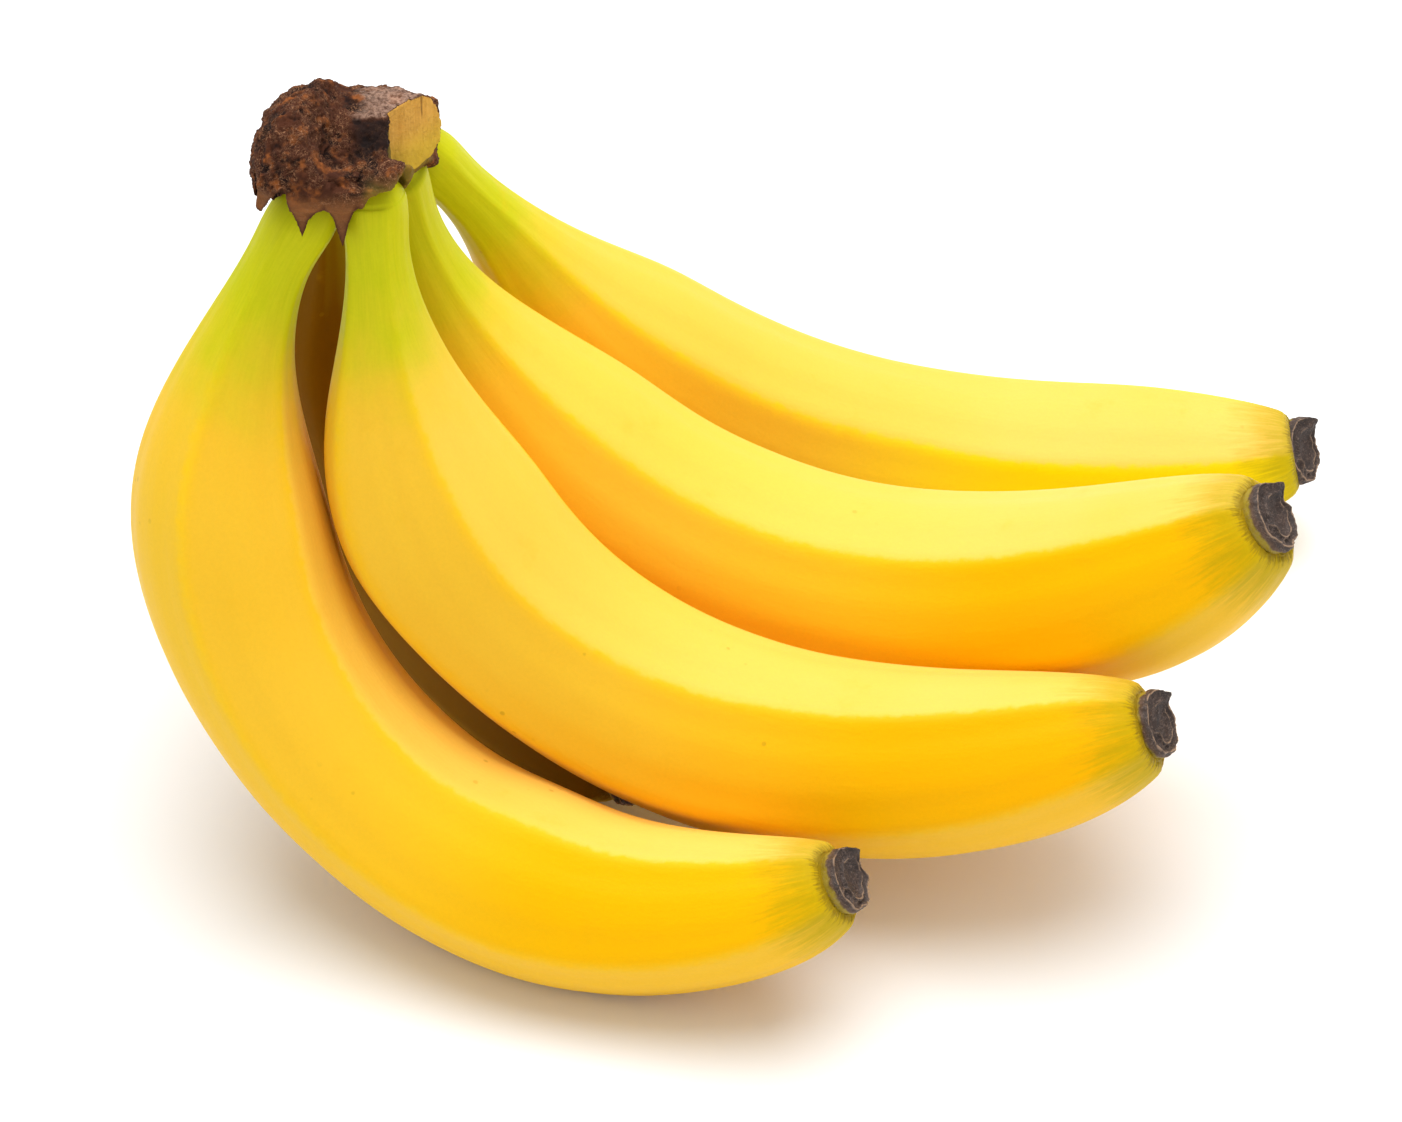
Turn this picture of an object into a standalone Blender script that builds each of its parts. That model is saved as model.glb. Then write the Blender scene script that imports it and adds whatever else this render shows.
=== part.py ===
"""Bunch of bananas: five fruits, their dried flower ends, and the crown that they grew from.

Metres, +Z up. The fruits' tips point to +X and the crown stands over the -X end. -Y is the front.
The bunch lies on its curved bellies: the front, back and under fruits touch the floor at z = 0,
and the second and third fruits lie nested above them.
"""

import math
from typing import NamedTuple

import bmesh
import bpy
from mathutils import Vector

MM = 0.001

# The bunch is laid out from a point on the floor below the crown, then moved by this much, in mm,
# so that the origin is the middle of its footprint.
TO_FOOTPRINT_MIDDLE = (-78.5, -63.3, 0.0)

# Every fruit
SIDES = 25  # points round a fruit, five for each face between two ridges
RINGS = 28  # steps from the crown to the tip
RING_CROWDING = 0.07  # how far the rings gather towards both ends
RIDGE_HEIGHT = 0.035  # how far the five ridges stand out, as a share of the radius
FIRST_RIDGE = 36  # degrees from the hollow side to the first ridge
NECK_FLARE = 0.5 * MM  # extra radius where the neck leaves the crown
NECK_ENDS = 0.04  # share of the length where the neck starts to swell into the body
HOOK_ENDS = 0.2  # share of the length where the hook of the neck has straightened out
TIP_FROM, TIP_SPAN, TIP_POWER = 0.55, 0.47, 3.2  # the rounding of the tip end
BEND_ENDS = 0.97  # share of the length where the curve has run out

# The root of each neck, inside the crown
PLUG = ((2.5 * MM, 0.92), (5.0 * MM, 0.76), (7.0 * MM, 0.55))  # depth and share of the neck's radius
SOCKET_GAP = 0.45 * MM  # room between a root and its socket in the crown

# Dried flower end: (distance past the fruit's end, radius as a share of the fruit's end)
BLOSSOM_GAP = 0.35 * MM
BLOSSOM_PROFILE = ((0.0, 0.86), (0.9 * MM, 0.97), (2.0 * MM, 0.98), (3.0 * MM, 0.84))
BLOSSOM_DISH = ((2.6 * MM, 0.62), (1.9 * MM, 0.30))  # the sunken middle of its face
BLOSSOM_SIDES = 20
BLOSSOM_LOBES = 0.06  # how uneven its rim is, as a share of the radius

# The crown: rings along its length, as (x, y, z of the middle, half width, height above, depth below)
CROWN_RINGS = (
    (0.0, 41.0, 147.5, 7.5, 6.0, 5.0),
    (0.0, 43.0, 147.5, 12.0, 10.0, 8.0),
    (0.0, 52.0, 148.5, 14.5, 13.5, 10.0),
    (1.5, 64.0, 146.5, 14.5, 13.5, 10.5),
    (3.0, 74.0, 141.5, 15.5, 11.0, 10.5),
    (5.5, 84.0, 135.5, 14.5, 8.0, 10.0),
    (10.5, 93.0, 129.0, 11.5, 6.5, 8.0),
    (13.5, 101.0, 124.5, 9.0, 6.5, 6.5),
    (14.0, 106.0, 123.0, 5.0, 4.0, 4.0),
)
CROWN_SIDES = 24
CROWN_SQUARENESS = 0.80  # below 1 the section is fuller than an ellipse


class Fruit(NamedTuple):
    """One fruit. Its middle line is a plane curve that starts down the neck and turns to +X."""

    name: str
    start: tuple  # mm, where the neck leaves the crown
    fan: float  # degrees that the neck leans to the back, from straight down
    kick: float  # degrees that the neck leans away from the tips
    roll: float  # degrees that the plane of the curve is turned about the neck
    length: float  # mm along the middle
    bend: float  # degrees that the fruit turns from neck to tip
    ease: float  # 0 for an even arc, 1 for a bend that gathers in the middle
    hook: float  # degrees that the neck turns back where it leaves the crown
    shoulder: float  # share of the length where the neck has swelled to the full body
    neck: float  # mm, radius of the neck
    belly: float  # mm, radius of the thickest part
    turn: float  # degrees that its ridges are turned about the middle line


FRUITS = (
    Fruit("front", (-5.5, 53.5, 136.8), 1, 38, 26, 226, 161, 0.05, 8, 0.31, 6.1, 18.5, -10),
    Fruit("second", (7.5, 51, 143), -4, 7, 11, 225, 123, 0.50, 7, 0.33, 5.7, 19.25, -2),
    Fruit("third", (9.5, 79, 128), 2, -13, 16, 226, 121, 0.45, -4, 0.34, 6.0, 19.75, -7),
    Fruit("back", (15, 98.5, 119), 16, -11, -2, 227, 92, 0.30, 19, 0.35, 5.5, 19, -6),
    Fruit("under", (-4.5, 76.5, 129.6), 38, 20, 52, 176, 131, 0.75, 29, 0.34, 6.0, 17.5, 0),
)

SKIN_COLOUR = (0.90, 0.58, 0.03)
CROWN_COLOUR = (0.16, 0.065, 0.03)
BLOSSOM_COLOUR = (0.05, 0.03, 0.022)


def smooth(value):
    """0 up to 1 with a level start and end."""
    value = min(max(value, 0.0), 1.0)
    return value * value * (3.0 - 2.0 * value)


def radius_at(fruit, share):
    """The fruit's mean radius at this share of its length."""
    neck = fruit.neck * MM + NECK_FLARE * max(0.0, 1.0 - share / NECK_ENDS)
    swell = smooth((share - NECK_ENDS) / (fruit.shoulder - NECK_ENDS))
    radius = neck + (fruit.belly * MM - neck) * swell
    past = max(0.0, (share - TIP_FROM) / TIP_SPAN)
    return radius * math.sqrt(1.0 - past**TIP_POWER)


def curve_plane(fruit):
    """The neck's direction, and the direction that the fruit bends towards."""
    fan, kick, roll = (math.radians(angle) for angle in (fruit.fan, fruit.kick, fruit.roll))
    outward = Vector((0.0, math.sin(fan), -math.cos(fan)))
    along_x = Vector((1.0, 0.0, 0.0))
    neck = math.cos(kick) * outward - math.sin(kick) * along_x
    inside = math.cos(kick) * along_x + math.sin(kick) * outward
    bend_to = math.cos(roll) * inside + math.sin(roll) * neck.cross(inside)
    return neck, bend_to


def heading(fruit, share):
    """The middle line's direction and the direction of its hollow side."""
    neck, bend_to = curve_plane(fruit)
    run = min(share / BEND_ENDS, 1.0)
    bend = fruit.bend * ((1.0 - fruit.ease) * run + fruit.ease * smooth(run))
    angle = math.radians(bend + fruit.hook * (1.0 - smooth(share / HOOK_ENDS)))
    forward = math.cos(angle) * neck + math.sin(angle) * bend_to
    hollow = math.cos(angle) * bend_to - math.sin(angle) * neck
    return forward, hollow


def middle_line(fruit, shares):
    """The points of the middle line at these shares of the length."""
    points = [Vector(fruit.start) * MM]
    for before, after in zip(shares, shares[1:]):
        forward, _ = heading(fruit, (before + after) / 2.0)
        points.append(points[-1] + forward * (after - before) * fruit.length * MM)
    return points


def section(fruit, centre, forward, hollow, radius):
    """One ring of a fruit: a circle with five soft ridges."""
    across = forward.cross(hollow)
    ring = []
    for side in range(SIDES):
        angle = math.tau * side / SIDES
        ridge = math.cos(5.0 * (angle - math.radians(FIRST_RIDGE + fruit.turn)))
        reach = radius * (1.0 + RIDGE_HEIGHT * ridge)
        point = centre + reach * (math.cos(angle) * hollow + math.sin(angle) * across)
        ring.append(Vector((point.x, point.y, max(point.z, 0.0))))
    return ring


def root_rings(fruit, extra):
    """The rings of the neck's root, from its deep end to the crown's surface."""
    forward, hollow = heading(fruit, 0.0)
    rings = []
    for depth, share in reversed(PLUG):
        centre = Vector(fruit.start) * MM - forward * (depth + extra)
        rings.append(section(fruit, centre, forward, hollow, radius_at(fruit, 0.0) * share + extra))
    return rings


def body_rings(fruit, shares, extra=0.0):
    rings = []
    for share, centre in zip(shares, middle_line(fruit, shares)):
        forward, hollow = heading(fruit, share)
        rings.append(section(fruit, centre, forward, hollow, radius_at(fruit, share) + extra))
    return rings


def loft(name, rings):
    """A closed mesh through these rings, which all have the same number of points."""
    work = bmesh.new()
    loops = [[work.verts.new(point) for point in ring] for ring in rings]
    count = len(loops[0])
    for lower, upper in zip(loops, loops[1:]):
        for side in range(count):
            after = (side + 1) % count
            work.faces.new((lower[side], lower[after], upper[after], upper[side]))
    work.faces.new(reversed(loops[0]))
    work.faces.new(loops[-1])
    bmesh.ops.recalc_face_normals(work, faces=work.faces)
    mesh = bpy.data.meshes.new(name)
    work.to_mesh(mesh)
    work.free()
    mesh.shade_smooth()
    piece = bpy.data.objects.new(name, mesh)
    bpy.context.scene.collection.objects.link(piece)
    return piece


def material(name, colour, roughness):
    finish = bpy.data.materials.new(name)
    finish.use_nodes = True
    shader = finish.node_tree.nodes["Principled BSDF"]
    shader.inputs["Base Color"].default_value = (*colour, 1.0)
    shader.inputs["Roughness"].default_value = roughness
    shader.inputs["Metallic"].default_value = 0.0
    return finish


def ring_shares():
    """Shares of the length, closer together towards both ends."""
    steps = [step / RINGS for step in range(RINGS + 1)]
    return [step - RING_CROWDING * math.sin(math.tau * step) for step in steps]


def add_fruit(fruit, finish):
    piece = loft(f"finger_{fruit.name}", root_rings(fruit, 0.0) + body_rings(fruit, ring_shares()))
    piece.data.materials.append(finish)
    return piece


def add_blossom_end(fruit, finish):
    """The dry stub on the fruit's end: a lipped disc with a sunken middle."""
    end = middle_line(fruit, ring_shares())[-1]
    forward, hollow = heading(fruit, 1.0)
    across = forward.cross(hollow)
    full = radius_at(fruit, 1.0)
    rings = []
    for distance, share in BLOSSOM_PROFILE + BLOSSOM_DISH:
        centre = end + forward * (BLOSSOM_GAP + distance)
        ring = []
        for side in range(BLOSSOM_SIDES):
            angle = math.tau * side / BLOSSOM_SIDES
            uneven = 1.0 + BLOSSOM_LOBES * math.sin(3.0 * angle + fruit.belly)
            reach = full * share * uneven
            ring.append(centre + reach * (math.cos(angle) * hollow + math.sin(angle) * across))
        rings.append(ring)
    piece = loft(f"blossom_end_{fruit.name}", rings)
    piece.data.materials.append(finish)
    return piece


def crown_section(ring):
    """One rounded ring of the crown, wider across than it is deep."""
    x, y, z, half_width, above, below = (value * MM for value in ring)
    points = []
    for side in range(CROWN_SIDES):
        angle = math.tau * side / CROWN_SIDES
        flat, rise = math.cos(angle), math.sin(angle)
        out = half_width * math.copysign(abs(flat) ** CROWN_SQUARENESS, flat)
        up = (above if rise > 0.0 else below) * math.copysign(abs(rise) ** CROWN_SQUARENESS, rise)
        points.append(Vector((x + out, y, z + up)))
    return points


def add_crown(finish):
    """The woody pad, with a socket for the root of each neck."""
    crown = loft("crown", [crown_section(ring) for ring in CROWN_RINGS])
    crown.data.materials.append(finish)
    for fruit in FRUITS:
        neck_shares = ring_shares()[:5]
        rings = root_rings(fruit, SOCKET_GAP) + body_rings(fruit, neck_shares, SOCKET_GAP)
        cutter = loft(f"socket_cutter_{fruit.name}", rings)
        cutter.hide_render = True
        cutter.display_type = "WIRE"
        socket = crown.modifiers.new(f"socket_{fruit.name}", "BOOLEAN")
        socket.operation = "DIFFERENCE"
        socket.solver = "EXACT"
        socket.object = cutter
    return crown


def main():
    for leftover in list(bpy.data.objects):
        bpy.data.objects.remove(leftover, do_unlink=True)
    skin = material("banana_skin", SKIN_COLOUR, 0.45)
    bark = material("crown_bark", CROWN_COLOUR, 0.85)
    dry_flower = material("dry_flower", BLOSSOM_COLOUR, 0.75)
    for fruit in FRUITS:
        add_fruit(fruit, skin)
        add_blossom_end(fruit, dry_flower)
    add_crown(bark)
    bunch = bpy.data.objects.new("bunch", None)
    bunch.location = Vector(TO_FOOTPRINT_MIDDLE) * MM
    pieces = list(bpy.context.scene.collection.objects)
    bpy.context.scene.collection.objects.link(bunch)
    for piece in pieces:
        piece.parent = bunch


main()
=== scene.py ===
# %% [markdown]
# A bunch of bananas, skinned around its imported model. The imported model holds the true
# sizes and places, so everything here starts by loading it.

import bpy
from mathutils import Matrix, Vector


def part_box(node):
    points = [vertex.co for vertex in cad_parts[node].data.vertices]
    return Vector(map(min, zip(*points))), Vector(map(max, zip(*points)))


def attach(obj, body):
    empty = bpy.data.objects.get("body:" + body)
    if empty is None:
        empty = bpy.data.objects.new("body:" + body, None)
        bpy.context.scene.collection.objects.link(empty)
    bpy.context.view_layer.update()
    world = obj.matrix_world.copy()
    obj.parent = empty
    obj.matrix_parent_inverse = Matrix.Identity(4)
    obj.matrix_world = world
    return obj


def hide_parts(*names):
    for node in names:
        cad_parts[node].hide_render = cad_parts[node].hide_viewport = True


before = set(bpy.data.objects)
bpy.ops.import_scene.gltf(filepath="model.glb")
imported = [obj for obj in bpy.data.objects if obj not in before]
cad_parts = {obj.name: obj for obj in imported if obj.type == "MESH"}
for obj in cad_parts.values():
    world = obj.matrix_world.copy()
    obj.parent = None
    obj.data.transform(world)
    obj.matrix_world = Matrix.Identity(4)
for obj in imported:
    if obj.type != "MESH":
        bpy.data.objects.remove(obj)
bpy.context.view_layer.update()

import math

import bpy
import numpy as np
from mathutils import Vector, kdtree, noise

MM = 0.001
print("nodes:", sorted(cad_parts))

# %% [markdown]
# The bunch lies on a pale table and is seen from a little above, along +Y, with a long
# lens that hardly narrows what is further away. The camera is placed by the direction
# that it looks in and by its distance from one point in the middle of the bunch.

# %% Camera
LOOK_AT = Vector((-11.81, -14.40, 60.39)) * MM
CAMERA_ABOVE = math.radians(39)
CAMERA_AWAY = 1.0
LENS = 135.1
SENSOR_WIDE = 36
NEAREST_SEEN = 0.05

lens = bpy.data.cameras.new("lens")
lens.lens = LENS
lens.sensor_width = SENSOR_WIDE
lens.clip_start = NEAREST_SEEN
camera = bpy.data.objects.new("camera", lens)
bpy.context.scene.collection.objects.link(camera)
camera.location = LOOK_AT + CAMERA_AWAY * Vector(
    (0, -math.cos(CAMERA_ABOVE), math.sin(CAMERA_ABOVE))
)
camera.rotation_euler = (math.pi / 2 - CAMERA_ABOVE, 0, 0)
bpy.context.scene.camera = camera
print("camera at", [round(x, 3) for x in camera.location])

# %% [markdown]
# Fruit is shown on a plain white table. A flat disc far wider than the view serves as
# one, with a matt finish, so that it has no sheen of its own and only takes shadows.

# %% Table
TABLE_RADIUS = 6
TABLE_SIDES = 64
TABLE_COLOUR = (0.915, 0.925, 0.94, 1)

bpy.ops.object.select_all(action="DESELECT")
bpy.ops.mesh.primitive_circle_add(
    vertices=TABLE_SIDES, radius=TABLE_RADIUS, fill_type="NGON", location=(0, 0, 0))
floor = bpy.context.object
floor.name = "table"

table_white = bpy.data.materials.new("table_white")
table_white.use_nodes = True
paint = table_white.node_tree.nodes["Principled BSDF"]
paint.inputs["Base Color"].default_value = TABLE_COLOUR
paint.inputs["Roughness"].default_value = 0.9
paint.inputs["Specular IOR Level"].default_value = 0.0
floor.data.materials.append(table_white)
print("table", TABLE_RADIUS, "m in radius")

# %% [markdown]
# The light is one broad soft lamp, high above and a little behind the bunch, so shadows
# fall to the front with soft edges. White surroundings fill the shadows. The lamp is a
# shade warm and the surroundings a shade cool, which leaves the lit table neutral. The
# camera sees the surroundings as plain white, whatever their strength as a fill is.

# %% Lamp and surroundings
LAMP_AT = (0.04, 0.18, 1.4)
LAMP_AIM = (0, 0, 0.03)
LAMP_WIDE = 1.6
LAMP_WATTS = 23
LAMP_COLOUR = (1.0, 0.99, 0.98)
FILL_COLOUR = (0.96, 0.985, 1.0, 1)
FILL_STRENGTH = 0.67

lamp = bpy.data.lights.new("main_light", "AREA")
lamp.shape = "DISK"
lamp.size = LAMP_WIDE
lamp.energy = LAMP_WATTS
lamp.color = LAMP_COLOUR
holder = bpy.data.objects.new("main_light", lamp)
bpy.context.scene.collection.objects.link(holder)
holder.location = LAMP_AT
aim = Vector(LAMP_AIM) - Vector(LAMP_AT)
holder.rotation_euler = aim.to_track_quat("-Z", "Y").to_euler()

world = bpy.data.worlds.new("white_room")
world.use_nodes = True
room = world.node_tree
room.nodes.clear()
seen = room.nodes.new("ShaderNodeBackground")
seen.inputs["Color"].default_value = (1, 1, 1, 1)
seen.inputs["Strength"].default_value = 1.0
fill = room.nodes.new("ShaderNodeBackground")
fill.inputs["Color"].default_value = FILL_COLOUR
fill.inputs["Strength"].default_value = FILL_STRENGTH
which = room.nodes.new("ShaderNodeLightPath")
mix = room.nodes.new("ShaderNodeMixShader")
out = room.nodes.new("ShaderNodeOutputWorld")
room.links.new(which.outputs["Is Camera Ray"], mix.inputs[0])
room.links.new(fill.outputs[0], mix.inputs[1])
room.links.new(seen.outputs[0], mix.inputs[2])
room.links.new(mix.outputs[0], out.inputs["Surface"])
bpy.context.scene.world = world
bpy.context.scene.view_settings.view_transform = "Standard"
print("lamp of", LAMP_WATTS, "W at", LAMP_AT)

# %% [markdown]
# Every piece below is opened, shaped and finished with the same few steps, so they come
# first: select one object alone, open it in edit mode, apply its modifiers, and read or
# write all of its points at once, which is far quicker than one by one.

# %% Helpers for meshes


def only(thing):
    """Makes thing the only selected and the active object."""
    if bpy.context.mode != "OBJECT":
        bpy.ops.object.mode_set(mode="OBJECT")
    bpy.ops.object.select_all(action="DESELECT")
    thing.select_set(True)
    bpy.context.view_layer.objects.active = thing


def edit(thing):
    """Opens thing in edit mode, in face selection, with nothing selected."""
    only(thing)
    bpy.ops.object.mode_set(mode="EDIT")
    bpy.ops.mesh.select_mode(type="FACE")
    bpy.ops.mesh.select_all(action="DESELECT")


def finish_modifiers(thing):
    """Applies every modifier of thing in order."""
    only(thing)
    for modifier in list(thing.modifiers):
        bpy.ops.object.modifier_apply(modifier=modifier.name)


def points_of(mesh):
    """The mesh's points as an array of rows."""
    flat = np.empty(len(mesh.vertices) * 3)
    mesh.vertices.foreach_get("co", flat)
    return flat.reshape(-1, 3)


def put_points(mesh, points):
    """Writes the rows of points back into the mesh."""
    mesh.vertices.foreach_set("co", np.asarray(points, float).ravel())
    mesh.update()


def normals_of(mesh):
    """The outward directions at the mesh's points, as an array of rows."""
    flat = np.empty(len(mesh.vertices) * 3)
    mesh.vertex_normals.foreach_get("vector", flat)
    return flat.reshape(-1, 3)


def store(mesh, name, values):
    """Keeps one number for each point of the mesh under a name."""
    kept = mesh.attributes.new(name, "FLOAT", "POINT")
    kept.data.foreach_set("value", np.asarray(values, np.float32))


# %% [markdown]
# A banana's skin is one smooth hide over five long soft corners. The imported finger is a
# coarse cage of it: a copy is merged, its triangles become four-sided faces, and a
# subdivision surface rounds it. The rings of the cage, walked from the blossom end to
# the neck, give the finger's middle line. It could be redrawn as a curve by hand, but
# the cage already has it, at the true place.

# %% The finger skins
MERGE_WITHIN = 0.00001
# Two faces lie in one plane when their directions agree this well, and the flat end has
# more faces in one plane than any other spot.
SAME_PLANE = 0.9999
CAP_FACES = 18
CAP_REACH = 0.02
SIDEWAYS = 0.99
JOIN_TURN = 1.2
SMOOTH_LEVELS = 3
# Where the first corner runs, as (share of the length, degrees from the hollow side).
FIRST_CORNER = {
    "front": ((0.15, 22), (0.55, 30), (1.0, 28)),
    "second": ((0.15, 58), (0.35, 54), (0.65, 32), (1.0, 18)),
    "third": ((0.15, 32), (0.6, 28), (1.0, 26)),
    "back": ((0.15, 34), (0.6, 27), (1.0, 38)),
    "under": ((0.15, 36), (1.0, 36)),
}


def merge_all(thing):
    """Merges the doubled points of thing's loose triangles, in edit mode."""
    edit(thing)
    bpy.ops.mesh.select_all(action="SELECT")
    bpy.ops.mesh.remove_doubles(threshold=MERGE_WITHIN)


def cap_points(mesh, near):
    """The points around the flat end nearest a place."""
    normals = np.array([f.normal for f in mesh.polygons])
    middles = np.array([f.center for f in mesh.polygons])
    alike = (normals @ normals.T > SAME_PLANE).sum(1)
    flat = (alike > CAP_FACES) & (abs(normals[:, 2]) < SIDEWAYS)
    away = np.linalg.norm(middles - np.array(near), axis=1)
    away[~flat] += 9
    match = (normals @ normals[away.argmin()] > SAME_PLANE) & (away < away.min() + CAP_REACH)
    return {p for f in np.flatnonzero(match) for p in mesh.polygons[f].vertices}


def middle_line(mesh, near):
    """The middles of the cage's rings, ending at the flat end nearest a place."""
    beside = [set() for _ in mesh.vertices]
    for a, b in (e.vertices for e in mesh.edges):
        beside[a].add(b)
        beside[b].add(a)
    ring = cap_points(mesh, near)
    met = set(ring)
    middles = []
    while ring:
        middles.append(np.mean([mesh.vertices[p].co for p in ring], axis=0))
        ring = {q for p in ring for q in beside[p]} - met
        met |= ring
    return np.array(middles[::-1])


def finger_skin(name):
    """A smooth copy of a packed finger, and its middle line from the neck to the tip."""
    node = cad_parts["finger_" + name]
    skin = bpy.data.objects.new("skin_" + name, node.data.copy())
    bpy.context.scene.collection.objects.link(skin)
    skin.data.materials.clear()
    merge_all(skin)
    bpy.ops.object.mode_set(mode="OBJECT")
    low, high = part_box("blossom_end_" + name)
    line = middle_line(skin.data, (low + high) / 2)
    edit(skin)
    bpy.ops.mesh.select_all(action="SELECT")
    bpy.ops.mesh.tris_convert_to_quads(face_threshold=JOIN_TURN, shape_threshold=JOIN_TURN)
    bpy.ops.object.mode_set(mode="OBJECT")
    smooth = skin.modifiers.new("smooth", "SUBSURF")
    smooth.levels = smooth.render_levels = SMOOTH_LEVELS
    finish_modifiers(skin)
    return skin, line


skins, lines = {}, {}
for name in FIRST_CORNER:
    skins[name], lines[name] = finger_skin(name)
    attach(skins[name], "root")
    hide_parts("finger_" + name)
    print(name, len(lines[name]), "rings", len(skins[name].data.polygons), "faces",
          {len(p.vertices) for p in skins[name].data.polygons})

# %% [markdown]
# A corner or a colour can only follow a fruit when each point knows where it lies on it:
# how far along, and on which side. So the middle line is cut into fine steps and
# smoothed, and a search tree finds the step nearest to each point. A finger bends in one
# plane, so a single direction, square to that plane, tells its two flanks apart.

# %% Where each point of a skin lies
FINE_STEPS = 700
SOFTEN_STEPS = 31


def middle_frames(line):
    """Fine steps along a middle line: distance, place, direction, and the side direction."""
    steps = np.linalg.norm(np.diff(line, axis=0), axis=1)
    far = np.concatenate([[0], np.cumsum(steps)])
    along = np.linspace(0, far[-1], FINE_STEPS)
    place = np.stack([np.interp(along, far, line[:, k]) for k in range(3)], 1)
    soft = np.ones(SOFTEN_STEPS) / SOFTEN_STEPS
    more = SOFTEN_STEPS // 2
    padded = np.pad(place, ((more, more), (0, 0)), mode="reflect", reflect_type="odd")
    place = np.stack([np.convolve(padded[:, k], soft, "valid") for k in range(3)], 1)
    forward = np.gradient(place, axis=0)
    forward /= np.linalg.norm(forward, axis=1)[:, None]
    side = np.linalg.svd(place - place.mean(0))[2][2]
    halfway = FINE_STEPS // 2
    inward = (place[0] + place[-1]) / 2 - place[halfway]
    if np.cross(side, forward[halfway]) @ inward < 0:
        side = -side
    return along, place, forward, side


def nearest_step(place, points):
    """The number of the nearest step of the middle line for each point."""
    tree = kdtree.KDTree(len(place))
    for number, spot in enumerate(place):
        tree.insert(spot, number)
    tree.balance()
    return np.array([tree.find(point)[1] for point in points])


def learn_places(name):
    """Where a skin's points are: the points, how far along each is and the whole length in
    mm, its turn from the hollow side, its way out from the middle line, and that line's
    directions."""
    points = points_of(skins[name].data)
    along, place, forward, side = middle_frames(lines[name])
    step = nearest_step(place, points)
    away = points - place[step]
    hollow = np.cross(side, forward)
    turn = np.degrees(np.arctan2(away @ side, (away * hollow[step]).sum(1)))
    away -= (away * forward[step]).sum(1)[:, None] * forward[step]
    return points, along[step] / MM, along[-1] / MM, turn, away, forward


for name, line in lines.items():
    print(name, "middle line", round(middle_frames(line)[0][-1] / MM), "mm long")

# %% [markdown]
# The corners of the cage run straight and are as broad as the faces between them. On a
# fruit they are narrower, with flatter faces between, and wander a little, so the cage's
# ridges are divided out and new ones put in. A few places are made fuller or slimmer
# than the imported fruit, most roots reach further into the crown so that no gap opens,
# and the tip is pulled in behind its dry stub. Sculpting by hand could do the same.
# Rules were chosen because they serve all five fruits and one number changes them.

# %% The five soft corners of a skin
ROOT_DEEP = 7.0
CAGE_RIDGE = 0.035
CAGE_FIRST_RIDGE = {"front": 26, "second": 34, "third": 29, "back": 30, "under": 36}
CORNER_HEIGHT = 0.036
CORNER_SHARPER = 0.36
CORNER_SHARPEST = 0.16
UNEVEN_NOISE = 45
UNEVEN_MM = 0.16
# How much a neck's root thins, as a share of its width, and how many mm longer it is.
ROOT_THIN = {"back": 0.30, "second": 0.15, "front": 0.12}
ROOT_THIN_OTHERS = 0.6
ROOT_RISE = {"back": 8.5, "front": 4.5, "second": -2.8}
# Where each fruit is fuller, or slimmer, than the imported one: share of the length, its
# spread, the turn from the hollow side, and mm.
FULLER = {
    "front": ((0.70, 0.07, 30, 2.4), (0.34, 0.15, 180, 1.4), (0.87, 0.10, 180, -1.8)),
    "second": ((0.27, 0.12, 180, 2.8),),
    "third": ((0.86, 0.10, 165, 2.8),),
    "back": ((0.84, 0.10, 0, 1.3), (0.45, 0.20, 0, 1.2)),
}
# How far the tip sinks, and over how much of its end, in mm.
TIP_SINK = 2.2
TIP_LONG = 4


def hill(distance, width):
    """1 at no distance, falling away smoothly over a width."""
    return np.exp(-((distance / width) ** 2))


def shape_skin(name):
    """Shapes a skin, and returns where its points lie: how far along, the whole length,
    the turn from the hollow side, the reach from the middle line, and the first corner."""
    points, along, length, turn, away, forward = learn_places(name)
    body = along - ROOT_DEEP
    share = np.clip(body / (length - ROOT_DEEP), 0, 1)
    shares, degrees = zip(*FIRST_CORNER[name])
    corner = np.interp(share, shares, degrees)
    off = np.radians(turn - corner)
    old = 1 + CAGE_RIDGE * np.cos(5 * np.radians(turn - CAGE_FIRST_RIDGE[name]))
    ridged = np.cos(5 * off) + CORNER_SHARPER * np.cos(10 * off)
    new = 1 + CORNER_HEIGHT * (ridged + CORNER_SHARPEST * np.cos(15 * off))
    uneven = np.array([noise.noise(Vector(p) * UNEVEN_NOISE) for p in points])
    reach = np.linalg.norm(away, axis=1)
    outward = away / np.maximum(reach, 1e-6)[:, None]
    # The corners fade in over the first mm of the neck and out at the tip.
    fade = np.clip((body + 2) / 6, 0, 1) * np.clip((length - along) / 3, 0, 1)
    grow = (new / old - 1) * reach + uneven * UNEVEN_MM * MM
    points += outward * (grow * fade)[:, None]
    rooted = np.clip(-body / ROOT_DEEP, 0, 1)[:, None]
    points -= away * rooted * ROOT_THIN.get(name, ROOT_THIN_OTHERS)
    points -= forward[0] * rooted * ROOT_RISE.get(name, 0) * MM
    for at, spread, facing, grown in FULLER.get(name, ()):
        close = hill(share - at, spread) * np.clip(np.cos(np.radians(turn - facing)), 0, 1)
        points += outward * (close * grown * MM)[:, None]
    sunk = np.clip(1 - (length - along) / TIP_LONG, 0, 1)[:, None] ** 1.5
    points -= forward[-1] * sunk * TIP_SINK * MM
    points[:, 2] = np.maximum(points[:, 2], 0)
    put_points(skins[name].data, points)
    return along, length, turn, reach, corner


places = {}
for name in skins:
    places[name] = shape_skin(name)
    print(name, "is", round(places[name][1] - ROOT_DEEP), "mm long without its root")
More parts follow.
